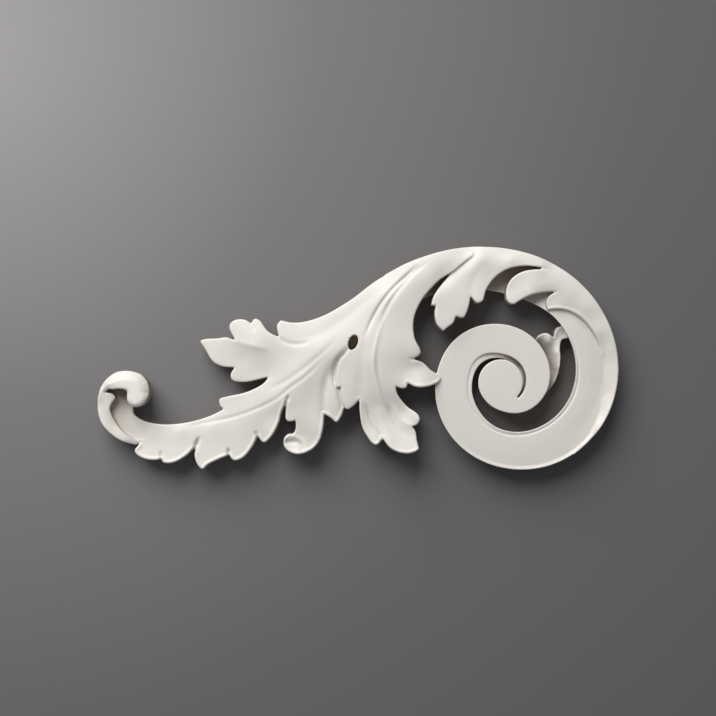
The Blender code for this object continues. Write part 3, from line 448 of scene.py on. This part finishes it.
rimAngles = [*range(90, -47, -6), -47]  # where the husk's outer edge follows the volute's
sheath = {  # the husk that wraps the arch and runs out along the volute's outer edge
    "edge": [
        ("crisp", [(4, 10.8), (8, 12.3), (12, 13.4), (16, 14), (20, 14)]
         + [volutePoint(voluteRadius("outer", angle), angle) for angle in rimAngles]),
        ("flush", [(37.5, -24.2), (39.4, -21.8), (40.8, -19), (41.4, -16), (41.75, -12), (41.8, -9),
                   (41.5, -7)]),
        ("lobe", [(41.1, -5), (40.2, -3), (38.3, -0.4), (36, 1.3), (33.6, 2), (31.1, 1.9)]),
        ("crisp", [(30.8, 3.2), (31.3, 4.5), (32.8, 5.4)]),
        ("crisp", [(31.5, 5.35), (29, 5), (27.3, 4.5), (25.7, 3.65), (24.4, 2.95), (23.3, 3.6), (23.1, 5.6),
                   (24.1, 7.8), (26.5, 9.3), (31.2, 9.8)]),
        ("crisp", [(27.3, 10.3), (25, 10.1), (23.5, 9.7), (22, 8.9), (20.7, 7.8), (19.6, 6.3), (19.1, 5.2),
                   (18.6, 3.6), (17.5, 3.2), (16.3, 4.5)]),
        ("crisp", [(15.9, 2.4), (14.9, 0.4), (13.5, 0.7)]),
        ("crisp", [(13, -0.6), (11.7, -1.6), (11.1, -2.2)]),
        ("crisp", [(9.8, -0.8), (9.45, 1.6), (9.7, 2.7)]),
        ("crisp", [(8.75, 2.75)]),
        ("crisp", [(9.25, 4.5), (10.5, 6.4), (12, 8.2), (14, 10.4), (15.4, 11.4)]),
        ("crisp", [(8, 11), (4, 10.8)]),
    ],
    "spots": leafSpots,
    "marks": leafMarks + [
        (0.45, 1.4, [(18.8, 13.2), (16.2, 11.9), (14.4, 10.7), (12.3, 9), (10.9, 7.8), (8.5, 5.5),
                     (6.5, 3)]),  # the wide valley beside the short leaf
    ],
    "backCut": 2.0,
}

bud = {  # the small one between the arch and the coil
    "edge": [
        ("crisp", [(29, -4), (29.3, -3.2), (30.2, -2.6), (31.1, -2.5), (32.5, -3.4)]),
        ("crisp", [(32.7, -2.1), (33.4, -1.3), (34.2, -1.2), (35.4, -3.4)]),
        ("crisp", [(34.1, -3.8), (33.7, -5), (33.7, -7.5), (33.35, -10.2), (32.5, -12.3), (30.4, -14.9)]),
        ("crisp", [(28.5, -14), (29.5, -10), (29, -4)]),
    ],
    "spots": [(29.2, -3.5, 3.7), (30.5, -3, 4.2), (31.8, -3.2, 4.3), (31.4, -4.3, 4), (33, -6.2, 3.8),
              (33.3, -9, 3.6), (32.7, -12, 3.2), (31.2, -14, 2.8), (29.6, -5.2, 1), (31.2, -7, 0.9),
              (32, -9.5, 1), (31.4, -12, 1.3), (33.6, -6, 3.9), (33.5, -1.8, 3.4), (34.3, -3.2, 3.1),
              (32.8, -3.6, 3.5), (29.5, -10, 1.6)],
    "marks": [],
    "backCut": -0.8,
}

curlRim = {  # outer wall of the channel at the left end
    "edge": [
        ("crisp", [(-54.2, -13.2), (-54.95, -14.5), (-55.1, -16), (-55.05, -17.4), (-54.3, -19.7),
                  (-52.5, -21.8), (-50.4, -23.2), (-47.9, -24)]),
        ("crisp", [(-46.8, -23.3)]),
        ("crisp", [(-48.1, -22.8), (-50, -21.6), (-51.4, -20), (-52.3, -18.3), (-52.65, -17), (-52.3, -16),
                   (-51.9, -15.4), (-51.55, -14.9)]),
        ("crisp", [(-51.8, -14.4), (-52.4, -14), (-53.6, -13.85)]),
        ("flush", [(-54.2, -13.2)]),
    ],
    "spots": [(-54.5, -17, 4.6), (-52.9, -17, 4.8), (-53.2, -20.8, 5), (-51.6, -20, 4.4), (-49.8, -23, 4.6),
              (-47.2, -23.7, 3.4), (-53.6, -14, 4.95), (-52.2, -14.5, 4.9), (-54.2, -15, 4.8),
              (-55, -16.5, 4.5)],
    "marks": [],
    "backCut": -0.8,
}

roll = {  # the rolled end, a fat cap that turns over the channel
    "edge": [
        ("flush", [(-53.6, -13.85), (-54.2, -15), (-55.05, -16.8)]),
        ("soft", [(-55.1, -15.8), (-54.95, -14.3), (-54.5, -12.9)]),
        ("fat", [(-53.9, -11.9), (-52.9, -10.9), (-51.5, -10), (-49.7, -9.7), (-48, -9.9), (-46.4, -10.6),
                 (-45.4, -11.8)]),
        ("round", [(-45, -13.3), (-45.1, -14.5)]),
        ("soft", [(-45.6, -15.6), (-46.3, -16.3), (-47.3, -16.65), (-48.3, -16.4), (-49, -15.7),
                  (-49.2, -14.9), (-49.15, -14), (-49.2, -13.5)]),
        ("crisp", [(-49.7, -13.25), (-51, -13.15), (-52, -13.3)]),
        ("crisp", [(-52.7, -13.2), (-53.6, -13.85)]),
    ],
    "spots": [(-54.2, -15, 4.8), (-55, -16.5, 4.5), (-53.6, -14, 4.95), (-53.8, -12.5, 5.6),
              (-52, -11.3, 6.1), (-49.5, -10.6, 6.3), (-51, -12.7, 6.4), (-49.7, -12.7, 6.6),
              (-47.6, -13.8, 6.8), (-46.8, -12, 6.5), (-45.9, -14, 6.8), (-48.6, -15.4, 6.9),
              (-47.5, -16, 7.1), (-46.4, -15.6, 7)],
    "marks": [],
    "backCut": 2.0,
}

eye = {  # blind hole between the two leaves
    "centre": (-6.1, -4.3),
    "long": 0.0090,  # metres
    "short": 0.0054,
    "depth": 0.0195,  # from the casting's highest point
    "lean": 19,  # degrees
}


def dropCrumbs(bm):
    # keeps the largest body that is left
    bodies, waiting = [], set(bm.verts)
    while waiting:
        body = [waiting.pop()]
        for vert in body:
            fresh = [e.other_vert(vert) for e in vert.link_edges if e.other_vert(vert) in waiting]
            waiting.difference_update(fresh)
            body.extend(fresh)
        bodies.append(body)
    bodies.sort(key=len)
    bmesh.ops.delete(bm, geom=[v for body in bodies[:-1] for v in body], context="VERTS")


def boreEye(mesh):
    bm = bmesh.new()
    bmesh.ops.create_cone(bm, cap_ends=True, segments=48, radius1=0.5, radius2=0.5, depth=1)
    bmesh.ops.scale(bm, verts=bm.verts, vec=(eye["short"], eye["long"], 2 * eye["depth"]))
    bmesh.ops.rotate(bm, verts=bm.verts, cent=(0, 0, 0), matrix=turned("X", 90))
    bmesh.ops.rotate(bm, verts=bm.verts, cent=(0, 0, 0), matrix=turned("Y", eye["lean"]))
    top = 7 * rise
    bmesh.ops.translate(bm, verts=bm.verts, vec=(eye["centre"][0] * unit, -top, eye["centre"][1] * unit))
    drill = addObject("drill", meshFrom(bm, "drill"))
    mesh = withModifier(mesh, "BOOLEAN", operation="DIFFERENCE", object=drill)
    bpy.data.objects.remove(drill)
    return mesh


def castTogether(meshes):
    # everything grown into one skin, smoothed a little as cast resin is, and cut flat on the wall
    bm = bmesh.new()
    for mesh in meshes:
        bm.from_mesh(mesh)
    whole = meshFrom(bm, "casting")
    whole = withModifier(whole, "REMESH", mode="VOXEL", voxel_size=drawing["grain"] * unit)
    whole = withModifier(whole, "SMOOTH", factor=0.5, iterations=1)
    bm = bmesh.new()
    bm.from_mesh(whole)
    dropCrumbs(bm)
    geometry = bm.verts[:] + bm.edges[:] + bm.faces[:]
    bmesh.ops.bisect_plane(bm, geom=geometry, plane_co=(0, 0, 0), plane_no=(0, 1, 0), clear_outer=True,
                           dist=1e-6)
    cutEdges = [edge for edge in bm.edges if edge.is_boundary]
    bmesh.ops.triangle_fill(bm, edges=cutEdges, use_beauty=True, normal=(0, 1, 0))
    bmesh.ops.recalc_face_normals(bm, faces=bm.faces)
    bmesh.ops.triangulate(bm, faces=bm.faces)
    count = len(bm.faces)
    bm.to_mesh(whole)
    bm.free()
    print("cast with", count, "triangles")
    if count > drawing["mostTriangles"]:
        whole = withModifier(whole, "DECIMATE", ratio=drawing["mostTriangles"] / count)
    return whole


def linearColour(code):
    # sRGB hex to linear
    parts = [int(code[k:k + 2], 16) / 255 for k in (1, 3, 5)]
    return [c / 12.92 if c <= 0.04045 else ((c + 0.055) / 1.055) ** 2.4 for c in parts] + [1]


def addNode(tree, kind, settings=None, **links):
    node = tree.nodes.new(kind)
    for name, value in (settings or {}).items():
        if name in node.inputs:
            node.inputs[name].default_value = value
        else:
            setattr(node, name, value)
    for name, socket in links.items():
        tree.links.new(socket, node.inputs[name.replace("_", " ")])
    return node


resin = {
    "colour": "#e8e3da",
    "hollowShadeColour": "#b3a48f",  # painted shade in the deepest grooves
    # painted shade on the side walls, which turn away from the front
    "sideShadeColour": "#9b8c7b",
    # rounds of smoothing, and the depth in metres below the smoothed skin that counts as full
    "hollowPasses": [(30, 0.0018), (500, 0.0052)],
    "sideTurn": 0.5,  # a surface turned less than this to the front starts to count as a side
    "roughness": 0.5,
    "orangePeel": 0.9,  # mm between the faint bumps of the sprayed primer
    "bumpHeight": 0.0001,
    "bumpStrength": 0.05,
}


def paintHollowShade(mesh):
    # painted shade: 0 on the crests, a half in the deepest grooves, 1 on the sides
    places, normals = perPoint(mesh, "co"), perPoint(mesh, "normal")
    hollow = np.zeros(len(places))
    for passes, fullDepth in resin["hollowPasses"]:
        level = perPoint(withModifier(mesh, "SMOOTH", factor=0.5, iterations=passes), "co")
        sunk = ((level - places) * normals).sum(1)
        hollow = np.maximum(hollow, np.clip(sunk / fullDepth, 0, 1))
    sideways = np.clip(1 + normals[:, 1] / resin["sideTurn"], 0, 1)
    hollow = np.maximum(hollow / 2, sideways)
    mesh.attributes.new("hollow", "FLOAT", "POINT").data.foreach_set("value", hollow.astype(np.float32))


def primedResin():
    # polyurethane casting resin under sprayed matte primer: soft even white with painted shade in the
    # hollows and on the sides, a faint broad highlight
    material = bpy.data.materials.new("primedCastResin")
    material.use_nodes = True
    tree = material.node_tree
    shader = tree.nodes["Principled BSDF"]
    shader.inputs["Roughness"].default_value = resin["roughness"]
    hollow = addNode(tree, "ShaderNodeAttribute", {"attribute_name": "hollow"})
    # the ramp paints shade into the colour: darker in the hollows, darkest on the sides
    tint = addNode(tree, "ShaderNodeValToRGB", Fac=hollow.outputs["Fac"])
    tint.color_ramp.elements.new(0.5)  # the new stop falls between the two that are there
    for element, name in zip(tint.color_ramp.elements, ("colour", "hollowShadeColour", "sideShadeColour")):
        element.color = linearColour(resin[name])
    tree.links.new(tint.outputs["Color"], shader.inputs["Base Color"])
    place = addNode(tree, "ShaderNodeTexCoord")
    grain = addNode(tree, "ShaderNodeTexNoise", {"Scale": 1000 / resin["orangePeel"], "Detail": 2.0},
                    Vector=place.outputs["Object"])
    bump = addNode(tree, "ShaderNodeBump", Height=grain.outputs["Fac"],
                   settings={"Strength": resin["bumpStrength"], "Distance": resin["bumpHeight"]})
    tree.links.new(bump.outputs["Normal"], shader.inputs["Normal"])
    return material


leaves = [carve(leaf) for leaf in (longLeaf, shortLeaf, sheath, bud, curlRim, roll)]
casting = boreEye(castTogether([makeVolute()] + leaves))
paintHollowShade(casting)
casting.shade_smooth()
onlay = addObject("onlayCasting", casting)
casting.materials.clear()
casting.materials.append(primedResin())
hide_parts("onlay")
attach(onlay, "root")
print("casting carved:", len(casting.polygons), "faces")

stage = {
    # painted light: the wall's colour by metres from the corner where a pool of light is painted in
    "wall": {0.0: "#aeaba8", 0.21: "#82807f", 0.4: "#6b6969", 0.6: "#605e5e"},
    "paintedLightCorner": (-0.25, 0.16),
    "floor": "#d8d6d2",
    "roughness": 0.9,
    "wallGap": 0.0004,  # metres between the onlay's back and the wall
    "floorDrop": 0.28,  # metres from the mount down to the floor
    "reach": 3.0,  # metres from the middle of each plane to its sides
}


def stagePlane(name, turn, place):
    bm = bmesh.new()
    bmesh.ops.create_grid(bm, x_segments=1, y_segments=1, size=stage["reach"])
    bmesh.ops.rotate(bm, verts=bm.verts, cent=(0, 0, 0), matrix=turned("X", turn))
    bmesh.ops.translate(bm, verts=bm.verts, vec=place)
    mesh = meshFrom(bm, name)
    plane = addObject(name, mesh)
    plane.visible_shadow = plane.visible_diffuse = plane.visible_glossy = False
    material = bpy.data.materials.new(name + "Paint")
    material.use_nodes = True
    mesh.materials.append(material)
    tree = material.node_tree
    paint = tree.nodes["Principled BSDF"]
    paint.inputs["Roughness"].default_value = stage["roughness"]
    # seen from behind the plane is clear, so that the onlay's back can be looked at
    side = addNode(tree, "ShaderNodeNewGeometry")
    clear = addNode(tree, "ShaderNodeBsdfTransparent")
    mix = addNode(tree, "ShaderNodeMixShader")
    tree.links.new(side.outputs["Backfacing"], mix.inputs[0])
    tree.links.new(paint.outputs[0], mix.inputs[1])
    tree.links.new(clear.outputs[0], mix.inputs[2])
    tree.links.new(mix.outputs[0], tree.nodes["Material Output"].inputs["Surface"])
    return tree, paint


def makeStage():
    tree, paint = stagePlane("wall", 90, (0, stage["wallGap"], 0))
    # painted light: the wall is painted lightest at its upper left corner, as a pool of lamplight, and
    # darker away from it
    corner = (stage["paintedLightCorner"][0], 0, stage["paintedLightCorner"][1])
    place = addNode(tree, "ShaderNodeTexCoord")
    away = addNode(tree, "ShaderNodeVectorMath", {"operation": "DISTANCE"})
    tree.links.new(place.outputs["Object"], away.inputs[0])
    away.inputs[1].default_value = corner
    ramp = addNode(tree, "ShaderNodeValToRGB", Fac=away.outputs["Value"])
    for spot in list(stage["wall"])[1:-1]:
        ramp.color_ramp.elements.new(spot)
    for element, (spot, colour) in zip(ramp.color_ramp.elements, stage["wall"].items()):
        element.position = spot
        element.color = linearColour(colour)
    tree.links.new(ramp.outputs["Color"], paint.inputs["Base Color"])
    tree, paint = stagePlane("floor", 0, (0, 0, -stage["floorDrop"]))
    paint.inputs["Base Color"].default_value = linearColour(stage["floor"])


studio = {
    "air": "#d3d6de",  # light that comes from all round
    "airStrength": 0.29,
    "keyPlace": (-1.1, -1.75, 2.2),  # a round softbox at the upper left
    "keySize": 2.9,
    "keyPower": 121,
}


def makeLights():
    world = bpy.data.worlds.new("studio")
    bpy.context.scene.world = world
    world.use_nodes = True
    background = world.node_tree.nodes["Background"]
    background.inputs["Color"].default_value = linearColour(studio["air"])
    background.inputs["Strength"].default_value = studio["airStrength"]
    softbox = bpy.data.lights.new("key", "AREA")
    softbox.shape = "DISK"
    softbox.size = studio["keySize"]
    softbox.energy = studio["keyPower"]
    key = addObject("key", softbox)
    key.location = studio["keyPlace"]
    key.rotation_euler = (-Vector(studio["keyPlace"])).to_track_quat("-Z", "Y").to_euler()


view = {
    "aim": (-5.16, -7.27),  # where the middle of the picture falls on the drawing
    "away": 288.7,  # camera to wall, in drawing units
    "wide": 136.9,  # drawing units across the picture at the height of the leaf edges
    "edgeHeight": 5,  # drawing units from the wall
    "sensor": 36,  # mm
}


def makeCamera():
    data = bpy.data.cameras.new("camera")
    data.sensor_width = view["sensor"]
    data.lens = view["sensor"] * (view["away"] - view["edgeHeight"]) / view["wide"]
    camera = addObject("camera", data)
    camera.location = (view["aim"][0] * unit, -view["away"] * unit, view["aim"][1] * unit)
    camera.rotation_euler = (math.radians(90), 0, 0)
    bpy.context.scene.camera = camera


makeStage()
makeLights()
makeCamera()
bpy.context.scene.view_settings.view_transform = "Standard"
print("stage, lights and camera set")
